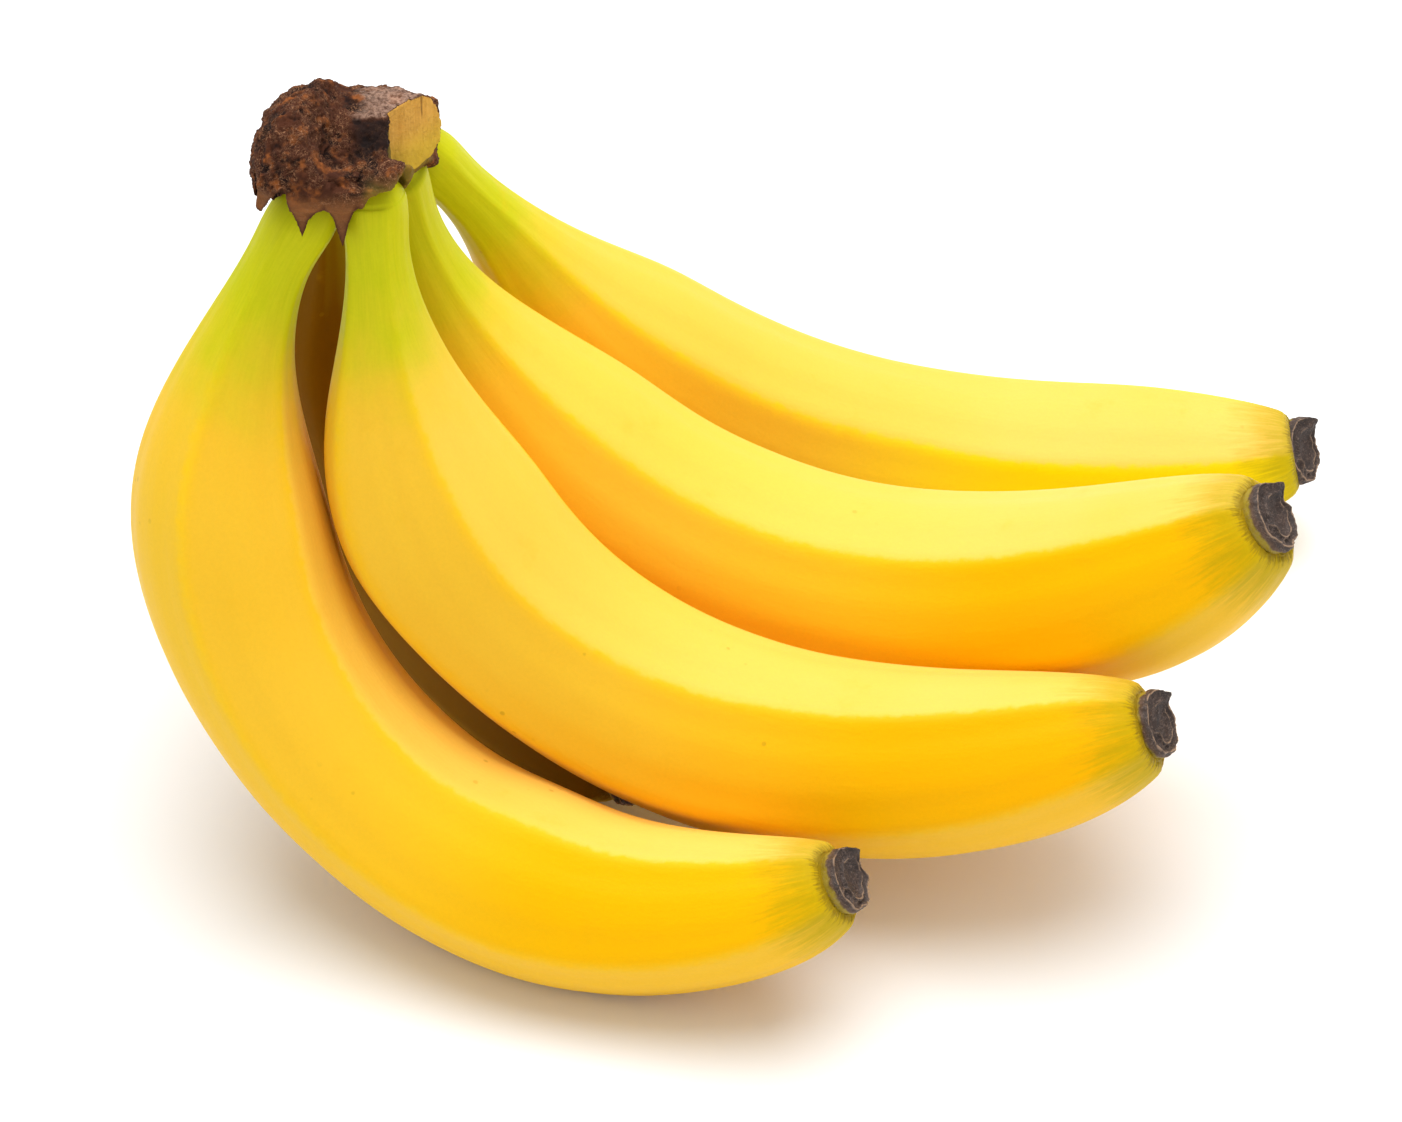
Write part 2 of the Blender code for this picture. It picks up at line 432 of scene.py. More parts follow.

# %% [markdown]
# The paint needs to know, at each point, how far the crown and the tip are, how deep it
# lies inside the hollow face, the flank or the belly face, how near a corner is, how far
# this fruit's flanks are painted bright yellow as light bounced from its neighbours, and
# where the hidden fruit is painted dark as the shade of the others. A picture wrapped
# around the fruit could say it. Numbers kept on the points say it with no seam.

# %% What a skin's paint has to know
CORNER_STEP = 72
HALF_STEP = 36
# How far each fruit's flanks are lifted to bright yellow: painted bounce light.
FLANK_BOUNCE_SHARE = {"front": 0.25, "second": 0.12, "third": 0.25, "back": 1.0, "under": 0.3}
# The way from the bunch to its front and up, and how quickly painted shade turns on with it.
TO_THE_FRONT = np.array((0, -0.777, 0.629))
SHADE_SLOPE = 1.6
SHADE_START = 0.1
GRAIN_ROUND = 18


def wrap(angle):
    """An angle in degrees brought to between -180 and 180."""
    return (angle + 180) % 360 - 180


def mark_skin(name):
    """Keeps on a skin what its paint has to know about each point."""
    along, length, turn, reach, corner = places[name]
    mesh = skins[name].data
    mm_per_degree = reach / MM * math.pi / 180

    def inside(middle):
        """How many mm inside a face between two corners a point lies."""
        return mm_per_degree * (HALF_STEP - abs(wrap(turn - corner - middle)))

    store(mesh, "from_crown", along - ROOT_DEEP)
    store(mesh, "from_tip", length - along)
    store(mesh, "hollow_face", inside(-HALF_STEP))
    store(mesh, "view_face", inside(HALF_STEP))
    store(mesh, "belly_face", inside(3 * HALF_STEP))
    to_corner = abs((turn - corner + HALF_STEP) % CORNER_STEP - HALF_STEP)
    store(mesh, "corner", mm_per_degree * to_corner)
    # Painted bounce light: this fruit's share of bright yellow on its flanks.
    store(mesh, "yellow", np.full(len(turn), FLANK_BOUNCE_SHARE[name]))
    # Painted shade: the hidden fruit's side facing the front and up is painted dark brown.
    shaded = np.clip(normals_of(mesh) @ TO_THE_FRONT * SHADE_SLOPE + SHADE_START, 0, 1)
    store(mesh, "shaded", shaded * (name == "under"))
    grain = mesh.attributes.new("grain", "FLOAT_VECTOR", "POINT")
    angle = np.radians(turn)
    grain.data.foreach_set("vector", np.stack(
        [GRAIN_ROUND * np.cos(angle), GRAIN_ROUND * np.sin(angle), along],
        1).astype(np.float32).ravel())
    return round(float(mm_per_degree.max() * CORNER_STEP), 1)


for name in skins:
    print(name, "widest face", mark_skin(name), "mm")

# %% [markdown]
# A finish is built from small nodes that are joined one to the next. Joined by hand in
# the editor they are easy to see, but written out they are long, so a helper class makes
# a node, fills in its sockets and joins it, all in one short line.

# %% Helpers for shading


class Paint:
    """A new material and short ways to add and join its nodes."""

    def __init__(self, name):
        self.material = bpy.data.materials.new(name)
        self.material.use_nodes = True
        self.tree = self.material.node_tree
        self.shader = self.tree.nodes["Principled BSDF"]

    def node(self, kind, inputs=None, **settings):
        """A new node with its settings and inputs filled in."""
        made = self.tree.nodes.new("ShaderNode" + kind)
        for key, value in settings.items():
            setattr(made, key, value)
        for key, value in (inputs or {}).items():
            self.put(made.inputs[key], value)
        return made

    def put(self, socket, value):
        """Joins another node's output to socket, or sets a plain value on it."""
        if isinstance(value, bpy.types.NodeSocket):
            self.tree.links.new(value, socket)
        else:
            socket.default_value = value

    def known(self, name, vector=False):
        """What the mesh keeps under a name."""
        made = self.node("Attribute", attribute_name=name)
        return made.outputs["Vector" if vector else "Fac"]

    def math(self, operation, a, b=0.0, c=0.0):
        """One step of arithmetic."""
        return self.node("Math", {0: a, 1: b, 2: c}, operation=operation).outputs[0]

    def between(self, value, low, high):
        """0 where value is at low, 1 where it is at high, smooth between."""
        made = self.node("MapRange", {"Value": value, "From Min": low, "From Max": high},
                         interpolation_type="SMOOTHSTEP")
        return made.outputs["Result"]

    def stretch(self, vector, by):
        """The vector scaled along each axis."""
        return self.node("Mapping", {"Vector": vector, "Scale": by}).outputs[0]

    def noise(self, vector, scale, detail=3.0, rough=0.55, warp=0.0):
        """Cloudy noise between 0 and 1."""
        made = self.node("TexNoise", {"Vector": vector, "Scale": scale, "Detail": detail,
                                      "Roughness": rough, "Distortion": warp})
        return made.outputs["Fac"]

    def vein(self, vector, scale, warp):
        """How far noise is from its middle value: near 0 along thin winding lines."""
        cloud = self.noise(vector, scale, 2, 0.5, warp)
        return self.math("ABSOLUTE", self.math("SUBTRACT", cloud, 0.5))

    def blend(self, share, a, b):
        """Colour a where share is 0, colour b where it is 1."""
        made = self.node("Mix", {0: share, 6: a, 7: b}, data_type="RGBA")
        return made.outputs[2]

    def cover(self, share, strength, under, over):
        """The colour under, covered with over by at most a strength."""
        return self.blend(self.math("MULTIPLY", share, strength), under, over)

    def bump(self, height, strength, distance, under=None):
        """Small relief that the light shows, over the relief under it."""
        made = self.node("Bump", {"Height": height, "Strength": strength,
                                  "Distance": distance})
        if under is not None:
            self.put(made.inputs["Normal"], under)
        return made.outputs[0]


def rgb(red, green, blue):
    """An opaque colour."""
    return (red, green, blue, 1.0)


# %% [markdown]
# The skin is waxy. Light and shade are painted into its faces: the hollow face is
# painted lemon as the face lit from above, the flanks are golden, the front flank near the
# crown is painted paler as a soft sheen, and the belly face is painted paler again as
# light bounced up from the table. The skin deepens from straw to amber along the fruit,
# and the hollow face is painted whiter toward the tip, where it turns up to the lamp.
# Every border is roughened by noise, so that none is a clean line. A plain yellow with
# one noise over it was the simpler way, but these painted faces are what make the corners
# show.

# %% The skin's golden flanks, with painted light on the hollow, front flank and belly
# The belly's paler colour is painted light, bounced up from the table.
BELLY_BOUNCE_LIGHT = rgb(0.86, 0.53, 0.045)
CORNER_GOLD = rgb(0.97, 0.62, 0.03)
# The bright yellow that flanks are lifted to as painted bounce light.
BOUNCE_LIT_YELLOW = rgb(0.95, 0.68, 0.0)

pt = Paint("waxy_banana_skin")
place = pt.node("TexCoord").outputs["Object"]
grain = pt.known("grain", vector=True)
from_crown = pt.known("from_crown")
from_tip = pt.known("from_tip")

broad = pt.noise(place, 26, 2)
fine = pt.noise(place, 420, 3)
dust = pt.noise(place, 1500, 2, 0.7)
streaks = pt.noise(pt.stretch(grain, (0.9, 0.9, 0.16)), 1.0, 4, 0.6)
ragged = pt.math("MULTIPLY_ADD", fine, 2.6, -1.3)

# Along the fruit toward the tip; on the hollow face it drives a painted highlight.
toward_tip = pt.between(from_crown, 60, 200)
amber = pt.blend(broad, rgb(0.92, 0.385, 0.0), rgb(0.93, 0.43, 0.0))
straw = pt.blend(broad, rgb(0.93, 0.48, 0.0), rgb(0.95, 0.54, 0.001))
gold = pt.blend(toward_tip, straw, amber)
# Painted bounce light: the flanks lifted to bright yellow by the fruit's share.
gold = pt.blend(pt.known("yellow"), gold, BOUNCE_LIT_YELLOW)
# Painted light: the hollow face is lemon, lit from above, and whiter toward the tip.
lit_lemon = pt.blend(toward_tip, rgb(0.96, 0.59, 0.055), rgb(0.97, 0.61, 0.14))
lit_lemon = pt.blend(broad, lit_lemon, rgb(0.96, 0.56, 0.07))
# Painted sheen: a paler, whiter yellow on the front flank near the crown.
sheen_tan = pt.blend(broad, rgb(0.90, 0.50, 0.020), rgb(0.91, 0.55, 0.040))
on_view = pt.between(pt.math("ADD", pt.known("view_face"), ragged), -2.5, 3.0)
early = pt.between(from_crown, 175, 95)
colour = pt.cover(on_view, early, gold, sheen_tan)
on_belly = pt.between(pt.math("ADD", pt.known("belly_face"), ragged), -0.6, 1.4)
colour = pt.cover(on_belly, 0.65, colour, BELLY_BOUNCE_LIGHT)
hollow_edge = pt.math("MULTIPLY_ADD", ragged, 0.7, pt.known("hollow_face"))
colour = pt.blend(pt.between(hollow_edge, -0.5, 0.6), colour, lit_lemon)
ridge = pt.between(pt.known("corner"), 1.6, 0.0)
colour = pt.cover(ridge, 0.28, colour, CORNER_GOLD)
print("skin so far:", len(pt.tree.nodes), "nodes")

# %% [markdown]
# A picked banana is still green in the neck, turns olive at the tip and is dark just
# where the dry flower sits. The hidden fruit lies in the shade of its neighbours, so the
# side of it that faces the gap is painted dark brown as that shade.

# %% The green neck, the olive tip and the painted shade in the gap
TIP_OLIVE = rgb(0.44, 0.33, 0.003)
TIP_DARK = rgb(0.10, 0.055, 0.012)
GAP_SHADE_BROWN = rgb(0.24, 0.11, 0.001)

greening = pt.math("MULTIPLY_ADD", pt.noise(place, 60, 3), 26, -13)
in_neck = pt.between(pt.math("ADD", from_crown, greening), 49, 15)
lime = pt.blend(streaks, rgb(0.50, 0.52, 0.002), rgb(0.66, 0.62, 0.012))
colour = pt.blend(in_neck, colour, lime)

tipping = pt.math("MULTIPLY_ADD", streaks, 18, -9)
near_tip = pt.between(pt.math("ADD", from_tip, tipping), 17, 2)
colour = pt.cover(near_tip, 0.75, colour, TIP_OLIVE)
short = pt.noise(pt.stretch(grain, (1.1, 1.1, 0.22)), 1.0, 3, 0.6)
fray = pt.math("MULTIPLY_ADD", short, 9, -4.5)
dark_end = pt.between(pt.math("ADD", from_tip, fray), 3.2, 0.2)
colour = pt.cover(dark_end, 0.5, colour, TIP_DARK)
# Painted shade on the side of the hidden fruit that faces the gap.
colour = pt.blend(pt.known("shaded"), colour, GAP_SHADE_BROWN)
print("skin so far:", len(pt.tree.nodes), "nodes")

# %% [markdown]
# Last come the faint marks of a ripe skin: broad amber mottling, a few brown specks in
# loose groups, and a fine dusting that keeps any part from being one flat colour. The
# wax is soft in its gloss, and a little light goes into the skin, which keeps shaded
# parts warm. Streaks along the fruit and a fine grain are only bump, being far too
# shallow to model.

# %% The skin's marks and gloss
MOTTLE_AMBER = rgb(0.80, 0.42, 0.004)
SPECK_BROWN = rgb(0.42, 0.24, 0.01)

mottle = pt.between(pt.noise(place, 110, 4, 0.65), 0.58, 0.75)
colour = pt.cover(mottle, 0.16, colour, MOTTLE_AMBER)
specks = pt.node("TexVoronoi", {"Vector": place, "Scale": 240.0}).outputs["Distance"]
sparse = pt.between(pt.noise(place, 38, 2), 0.60, 0.68)
dots = pt.math("MULTIPLY", pt.between(specks, 0.16, 0.08), sparse)
colour = pt.cover(dots, 0.45, colour, SPECK_BROWN)
powder = pt.math("MULTIPLY_ADD", dust, 0.10, 0.95)
colour = pt.node("VectorMath", {0: colour, 3: powder}, operation="SCALE").outputs[0]

pt.put(pt.shader.inputs["Base Color"], colour)
pt.shader.inputs["Specular IOR Level"].default_value = 0.05
gloss = pt.node("MapRange", {"Value": fine, "To Min": 0.36, "To Max": 0.52}).outputs[0]
pt.put(pt.shader.inputs["Roughness"], gloss)
pt.shader.inputs["Subsurface Weight"].default_value = 0.08
pt.shader.inputs["Subsurface Radius"].default_value = (1.0, 0.5, 0.1)
pt.shader.inputs["Subsurface Scale"].default_value = 0.003
first = pt.bump(streaks, 0.12, 0.0006)
pt.put(pt.shader.inputs["Normal"], pt.bump(fine, 0.10, 0.0004, first))
for skin in skins.values():
    skin.data.materials.append(pt.material)
    only(skin)
    bpy.ops.object.shade_smooth()
print("skin:", len(pt.tree.nodes), "nodes on", len(skins), "fruits")

# %% [markdown]
# Each fruit ends in the dry stub of its flower: a dark woody disc with a thin pale lip, a
# wrinkled oval sunk in it, two small cells under the oval and a lobe that leans over the
# top. One stub is modelled at unit size, a circle extruded into a plug that hides in the
# tip and a low wall, and inset ring by ring to the middle. The fine even rings are there
# so that soft stamps can press the details in afterwards.

# %% One dry stub
STUB_SIDES = 64
STUB_START = 0.77
# How far each step of the wall rises, and how much it widens.
WALL = ((0.60, 1.16), (0.20, 1.05), (0.10, 1.02), (0.10, 1.01), (0.08, 0.99), (0.05, 0.965))
PLUG = 0.80
INSETS = 19
INSET_WIDE = 0.047

bpy.ops.object.select_all(action="DESELECT")
bpy.ops.mesh.primitive_circle_add(vertices=STUB_SIDES, radius=STUB_START, fill_type="NGON",
                                  location=(0, 0, -PLUG))
bpy.ops.object.transform_apply(location=True)
stub = bpy.context.object
stub.name = "dry_stub"
edit(stub)
bpy.ops.mesh.select_all(action="SELECT")
for rise, widen in WALL:
    bpy.ops.mesh.extrude_region_move(TRANSFORM_OT_translate={"value": (0, 0, rise)})
    bpy.ops.transform.resize(value=(widen, widen, 1), center_override=(0, 0, 0))
for _ in range(INSETS):
    bpy.ops.mesh.inset(thickness=INSET_WIDE)
bpy.ops.object.mode_set(mode="OBJECT")
round_off = stub.modifiers.new("round_off", "SUBSURF")
round_off.levels = round_off.render_levels = 1
finish_modifiers(stub)
print("stub", len(stub.data.polygons), "faces, box",
      [round(x, 2) for x in stub.dimensions])

# %% [markdown]
# The details of the face are stamped: each is an oval or a soft hill that raises or sinks
# the points near it, and the same shapes say where the pale dry lines run, so that relief
# and colour always agree. Modelling them edge by edge would give harder shapes than a
# withered flower has.

# %% Stamps on the stub's face
# Ovals at unit size: middle across and up, half width and half height.
MAIN_OVAL = (0.20, 0.02, 0.47, 0.60)
LOW_OVAL = (-0.34, -0.54, 0.23, 0.27)
SMALL_OVAL = (0.22, -0.76, 0.20, 0.13)
OVAL_CUT_OFF = -0.12
LOBE_X, LOBE_Y, LOBE_WIDE, LOBE_HIGH = 0.30, 0.84, 0.30, 0.30
LIP_REACH = 0.885
FACE_LOW, FACE_RISE = 0.24, 0.08


def oval(x, y, middle_x, middle_y, wide, high):
    """1 on the oval's line, less inside, more outside."""
    return np.sqrt(((x - middle_x) / wide) ** 2 + ((y - middle_y) / high) ** 2)


def stamp_stub(shape, seed):
    """Heights, pale lines, face and lobe of a stub, for points at unit size."""
    x, y, z = shape.T
    away = np.hypot(x, y)
    turn = np.arctan2(y, x)
    face = np.clip((z - FACE_LOW) / FACE_RISE, 0, 1)
    lip = LIP_REACH + 0.025 * np.sin(3 * turn + seed) + 0.012 * np.sin(7 * turn + 2 * seed)
    main = oval(x, y, *MAIN_OVAL)
    low = oval(x, y, *LOW_OVAL)
    small = oval(x, y, *SMALL_OVAL)
    pale = np.maximum.reduce([
        hill(away - lip, 0.028), 0.85 * hill(main - 1, 0.06) * (x > OVAL_CUT_OFF),
        0.6 * hill(low - 1, 0.16), 0.6 * hill(small - 1, 0.22)])
    # A shallow dish, then the raised lip and rims, then the sunk middles.
    height = -0.05 * np.clip(1 - (away / 0.84) ** 4, 0, 1)
    height += 0.11 * hill(away - lip, 0.05) + 0.09 * hill(main - 1, 0.10)
    height += 0.05 * hill(low - 1, 0.2) + 0.05 * hill(small - 1, 0.25)
    height -= 0.06 * (main < 1) * (1 - main) + 0.05 * (low < 1) * (1 - low)
    lobe = hill(np.hypot(x - LOBE_X, y - LOBE_Y), LOBE_WIDE)
    height += LOBE_HIGH * lobe
    return height * face, pale * face * np.clip(1 - 1.3 * lobe, 0, 1), face, lobe


print("lowest and highest stamp:",
      [round(float(k), 2) for k in np.percentile(stamp_stub(points_of(stub.data), 1)[0], (0, 100))])

# %% [markdown]
# The stub is copied to every fruit. Each copy is turned to that fruit's end, leaned a
# little to the front as the fruits themselves lean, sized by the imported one, and then
# roughened with noise of its own, so that no two are alike.

# %% A stub on every fruit
# How far each stub's face leans to the front and up, 1 being all the way; its size beside
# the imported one's; and how far it stands out, as a share of its radius.
STUBS = {
    "front": (0.53, 0.88, -0.22), "second": (0.54, 0.88, -0.22), "third": (0.52, 0.92, -0.26),
    "back": (0.62, 1.0, -0.10), "under": (0.58, 0.88, 0.0),
}
STUB_UP = np.array((0.10, 0.629, 0.777))
STUB_STRETCH = np.array([0.98, 1.06, 1.0])
RIM_POINTS = 40
FOOT_SINK = 0.3
ROUGH_NOISE = 5
CRAG_NOISE = 2.6
LOBE_LEAN = 0.10


def facing(name, lean):
    """The directions across, up and out of a fruit's stub."""
    out = middle_frames(lines[name])[2][-1]
    out = out + (lean - out @ TO_THE_FRONT) * TO_THE_FRONT
    out /= np.linalg.norm(out)
    up = STUB_UP - (STUB_UP @ out) * out
    up /= np.linalg.norm(up)
    return np.stack([np.cross(up, out), up, out])


def packed_stub(name, out):
    """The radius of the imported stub, and how far behind the fruit's end it starts."""
    node = points_of(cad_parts["blossom_end_" + name].data)
    offset = node - node.mean(0)
    across = np.linalg.norm(offset - np.outer(offset @ out, out), axis=1)
    return np.sort(across)[-RIM_POINTS:].mean(), ((node - lines[name][-1]) @ out).min()


def place_stub(name, seed):
    """A copy of the dry stub, roughened and set on a fruit's end."""
    lean, size, lift = STUBS[name]
    basis = facing(name, lean)
    out = basis[2]
    radius, base = packed_stub(name, out)
    piece = bpy.data.objects.new("blossom_end_skin_" + name, stub.data.copy())
    bpy.context.scene.collection.objects.link(piece)
    shape = points_of(piece.data)
    height, pale, face, lobe = stamp_stub(shape, seed)
    rough = np.array([noise.fractal(Vector(p) * ROUGH_NOISE + Vector((seed, 0, 0)), 0.7, 2.1, 4)
                      for p in shape])
    craggy = np.array([noise.noise(Vector(p) * CRAG_NOISE + Vector((0, seed * 3, 0)))
                       for p in shape])
    shape[:, 2] += height + face * (0.035 * rough + 0.05 * craggy)
    spread = 1 + (0.035 * rough + 0.07 * craggy) * np.clip(shape[:, 2] / 0.1, 0, 1)
    shape[:, :2] *= spread[:, None]
    shape[:, 0] += LOBE_LEAN * lobe
    sized = shape * radius * size * STUB_STRETCH
    foot = lines[name][-1] + out * (base - FOOT_SINK * MM + lift * radius)
    put_points(piece.data, foot + sized @ basis)
    store(piece.data, "pale", pale)
    store(piece.data, "face", face)
    store(piece.data, "wall_up", np.where(face > 0.3, 1, shape[:, 2] * 2.6))
    edit(piece)
    bpy.ops.mesh.select_all(action="SELECT")
    bpy.ops.mesh.normals_make_consistent(inside=False)
    only(piece)
    bpy.ops.object.shade_smooth()
    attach(piece, "root")
    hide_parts("blossom_end_" + name)
    low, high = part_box("blossom_end_" + name)
    print(name, "stub radius", round(radius / MM, 1), "mm, packed box in mm",
          [round(span / MM, 1) for span in high - low])
    return piece


stubs = [place_stub(name, seed) for seed, name in enumerate(lines, 1)]
bpy.data.objects.remove(stub)

# %% [markdown]
# A dead flower is nearly black inside and woody brown on its wall, which turns olive
# where it meets the fruit. The pale lines are the dried lip and the rims of the cells,
# broken by noise because they flake off. Everything is rough, so there is no gloss.

# %% Dry stub finish
WALL_OLIVE = rgb(0.34, 0.24, 0.008)
CURL_TAN = rgb(0.30, 0.20, 0.15)
LIP_TAN = rgb(0.40, 0.25, 0.15)

pt = Paint("dry_stub_bark")
place = pt.node("TexCoord").outputs["Object"]
crumbs = pt.noise(place, 1700, 4, 0.7)
patches = pt.noise(place, 520, 3)
dark = pt.blend(patches, rgb(0.008, 0.005, 0.004), rgb(0.070, 0.036, 0.024))
wood = pt.blend(crumbs, rgb(0.030, 0.014, 0.008), rgb(0.155, 0.078, 0.040))
colour = pt.blend(pt.known("face"), wood, dark)
frayed = pt.math("MULTIPLY_ADD", pt.noise(place, 600, 3), 0.8, -0.4)
on_wall = pt.between(pt.math("ADD", pt.known("wall_up"), frayed), 0.62, 0.30)
colour = pt.blend(on_wall, colour, WALL_OLIVE)
curl = pt.between(pt.vein(place, 900, 1.2), 0.03, 0.006)
colour = pt.cover(curl, 0.35, colour, CURL_TAN)
on_lip = pt.between(pt.known("pale"), 0.35, 0.9)
flaked = pt.between(pt.noise(place, 700, 2), 0.30, 0.52)
colour = pt.cover(pt.math("MULTIPLY", on_lip, flaked), 0.8, colour, LIP_TAN)
pt.put(pt.shader.inputs["Base Color"], colour)
pt.shader.inputs["Roughness"].default_value = 0.62
pt.put(pt.shader.inputs["Normal"], pt.bump(crumbs, 0.5, 0.0004))
for piece in stubs:
    piece.data.materials.append(pt.material)
print("stub finish:", len(pt.tree.nodes), "nodes on", len(stubs), "stubs")

# %% [markdown]
# The crown is where the fruits were cut from the stem: a dark, fibrous, dried lump. Its
# top right is a block that two strokes of the knife left, with a grey level top and a
# fresher golden face, D-shaped, on its side. In front of the block the bark sinks into a
# hollow that is painted black as shade, and below it runs out in pointed papery rags over
# the two front necks.
# Solids are the way to such cuts: an outline is extruded and cut out with a Boolean, and
# a voxel remesh then makes the whole one closed skin of even faces.

# %% Helpers for solids


def solid_of(outline, push, name):
    """A closed solid: a flat outline, in mm, extruded by push."""
    flat = bpy.data.meshes.new(name)
    flat.from_pydata([Vector(p) * MM for p in outline], [], [tuple(range(len(outline)))])
    solid = bpy.data.objects.new(name, flat)
    bpy.context.scene.collection.objects.link(solid)
    edit(solid)
    bpy.ops.mesh.select_all(action="SELECT")
    bpy.ops.mesh.extrude_region_move(
        TRANSFORM_OT_translate={"value": [float(step * MM) for step in push]})
    bpy.ops.mesh.select_all(action="SELECT")
    bpy.ops.mesh.normals_make_consistent(inside=False)
    only(solid)
    return solid


def take_away(thing, cutter):
    """Cuts cutter out of thing and removes cutter."""
    cut = thing.modifiers.new("cut", "BOOLEAN")
    cut.operation = "DIFFERENCE"
    cut.solver = "EXACT"
    cut.object = cutter
    finish_modifiers(thing)
    bpy.data.objects.remove(cutter)


def even_mesh(thing, voxel):
    """Makes thing one closed mesh of even faces, about as wide as a voxel, in mm."""
    even = thing.modifiers.new("even", "REMESH")
    even.mode = "VOXEL"
    even.voxel_size = voxel * MM
    finish_modifiers(thing)
    print(thing.name, "at", voxel, "mm:", len(thing.data.polygons), "faces")


def ramp(value, start, end):
    """0 at start, 1 at end, smooth between."""
    share = np.clip((value - start) / (end - start), 0, 1)
    return share * share * (3 - 2 * share)


# %% [markdown]
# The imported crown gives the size. A copy of it is held back at its front, and lowered to
# a ledge that falls away to the back and gently to the front, with a shallow bowl in it
# in front of the block. Its left end stays high.

# %% The crown's blank
BLANK_VOXEL = 0.7
LOWERED_VOXEL = 0.55
# How far to the front the blank may reach, by height.
FRONT_HEIGHTS = (134, 140, 146, 151)
FRONT_LIMITS = (-17.6, -18.6, -21.0, -30)
LEDGE_HEIGHT = 155.0
LEDGE_HALF = 3.5
LEDGE_SLOPE_BACK = 0.48
LEDGE_SLOPE_FRONT = 0.22
LEFT_RISE, LEFT_FROM, LEFT_TO = 9, -76.5, -85
BOWL_X, BOWL_Y, BOWL_WIDE, BOWL_DEEP = -77.5, -12.5, 5.5, 2.6

crown = bpy.data.objects.new("crown_bark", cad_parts["crown"].data.copy())
bpy.context.scene.collection.objects.link(crown)
crown.data.materials.clear()
merge_all(crown)
even_mesh(crown, BLANK_VOXEL)

x, y, z = points_of(crown.data).T / MM
y = np.maximum(y, np.interp(z, FRONT_HEIGHTS, FRONT_LIMITS))
ledge = (LEDGE_HEIGHT - LEDGE_SLOPE_BACK * np.maximum(y - LEDGE_HALF, 0)
         - LEDGE_SLOPE_FRONT * np.maximum(-LEDGE_HALF - y, 0))
bowl = BOWL_DEEP * hill(np.hypot(x - BOWL_X, y - BOWL_Y), BOWL_WIDE)
top_limit = ledge + LEFT_RISE * ramp(x, LEFT_FROM, LEFT_TO) - bowl
put_points(crown.data, np.stack([x, y, np.minimum(z, top_limit)], 1) * MM)
even_mesh(crown, LOWERED_VOXEL)

# %% [markdown]
# Three cutters shape the blank. The first has the ragged lower edge of the bark as its
# outline and takes away what hangs over the necks. The second is the outline of the cut
# face, a little wider, and clears the bark from before it. The third trims the right end.

# %% Cutting the blank
# The ragged edge, across and up, in mm.
RAGS = (
    (-99, 147.0), (-91.8, 144.4), (-90.8, 143.6), (-88.6, 148.3), (-86.4, 152.0),
    (-85.8, 149.0), (-84.7, 143.6), (-83.5, 139.6), (-82.1, 143.4), (-79.0, 147.6),
    (-78.0, 144.0), (-76.3, 137.4), (-74.8, 143.0), (-73.4, 147.2), (-72.3, 146.4),
    (-71.0, 149.3), (-69.0, 149.9), (-66.0, 150.2), (-50, 150.2),
)
RAG_FRONT, RAG_BACK, RAG_LOW = -40, -11.5, 110
# The D-shaped cut face: its left edge, the way along it and out of it, and its outline
# in mm along and up from the middle of that edge.
FACE_EDGE = np.array((-68.4, -2.5, 149.4))
FACE_ALONG = np.array((0.66, 0.75, 0.0))
FACE_OUT = np.array((0.75, -0.66, 0.0))
FACE_D = (
    (0.0, 5.4), (4.2, 5.3), (8.9, 4.9), (11.2, 3.2), (13.0, 0.2), (13.9, -3.7),
    (13.3, -7.6), (10.8, -9.7), (6.9, -9.6), (3.3, -7.7), (0.5, -5.3), (0.0, -1.0),
)
WIDER_ALONG, WIDER_UP = 1.12, 1.30
CLEAR_LONG = 30
RIGHT_LIMIT = -61.8

rags = [(x, RAG_FRONT, z) for x, z in RAGS]
rags += [(RAGS[-1][0], RAG_FRONT, RAG_LOW), (RAGS[0][0], RAG_FRONT, RAG_LOW)]
take_away(crown, solid_of(rags, (0, RAG_BACK - RAG_FRONT, 0), "rag_cutter"))
wider = [FACE_EDGE + WIDER_ALONG * a * FACE_ALONG + (0, 0, -2 + WIDER_UP * (b + 2))
         for a, b in FACE_D]
take_away(crown, solid_of(wider, CLEAR_LONG * TO_THE_FRONT, "face_cutter"))
beside = [(RIGHT_LIMIT, -3, 90), (RIGHT_LIMIT, 50, 90), (-40, 50, 90), (-40, -3, 90)]
take_away(crown, solid_of(beside, (0, 0, 90), "side_cutter"))
print("crown after the cuts:", len(crown.data.polygons), "faces")

# %% [markdown]
# Now two parts are put back: the block, which is the D extruded into the crown, and a
# thin sheet with the same ragged edge, so that the rags are papery where they hang free.
# One remesh over all three welds them, finely enough for the fibres to come.

# %% The cut face's block and the sheet of rags
BLOCK_DEEP = 8.0
BLOCK_FALL = 2.4
SHEET_AT = -19.9
SHEET_THICK = 2.2
SHEET_LEFT, SHEET_RIGHT, SHEET_TOP = -92, -72, 153
BARK_VOXEL = 0.36

face_d = [FACE_EDGE + a * FACE_ALONG + (0, 0, b) for a, b in FACE_D]
block = solid_of(face_d, -BLOCK_DEEP * FACE_OUT + (0, 0, -BLOCK_FALL), "block")
hanging = [(x, SHEET_AT, z) for x, z in RAGS if SHEET_LEFT < x < SHEET_RIGHT]
hanging += [(-72.0, SHEET_AT, SHEET_TOP), (-90.5, SHEET_AT, SHEET_TOP)]
rag_sheet = solid_of(hanging, (0, SHEET_THICK, 0), "rag_sheet")
only(crown)
block.select_set(True)
rag_sheet.select_set(True)
bpy.ops.object.join()
even_mesh(crown, BARK_VOXEL)

# %% [markdown]
# Before the bark is roughened, each of its points learns what it belongs to, while its
# place still says so cleanly: the fresh cut face, the olive rim around it, the level
# grey top, the hollow to be painted black as shade, or the rags and their dark edge.

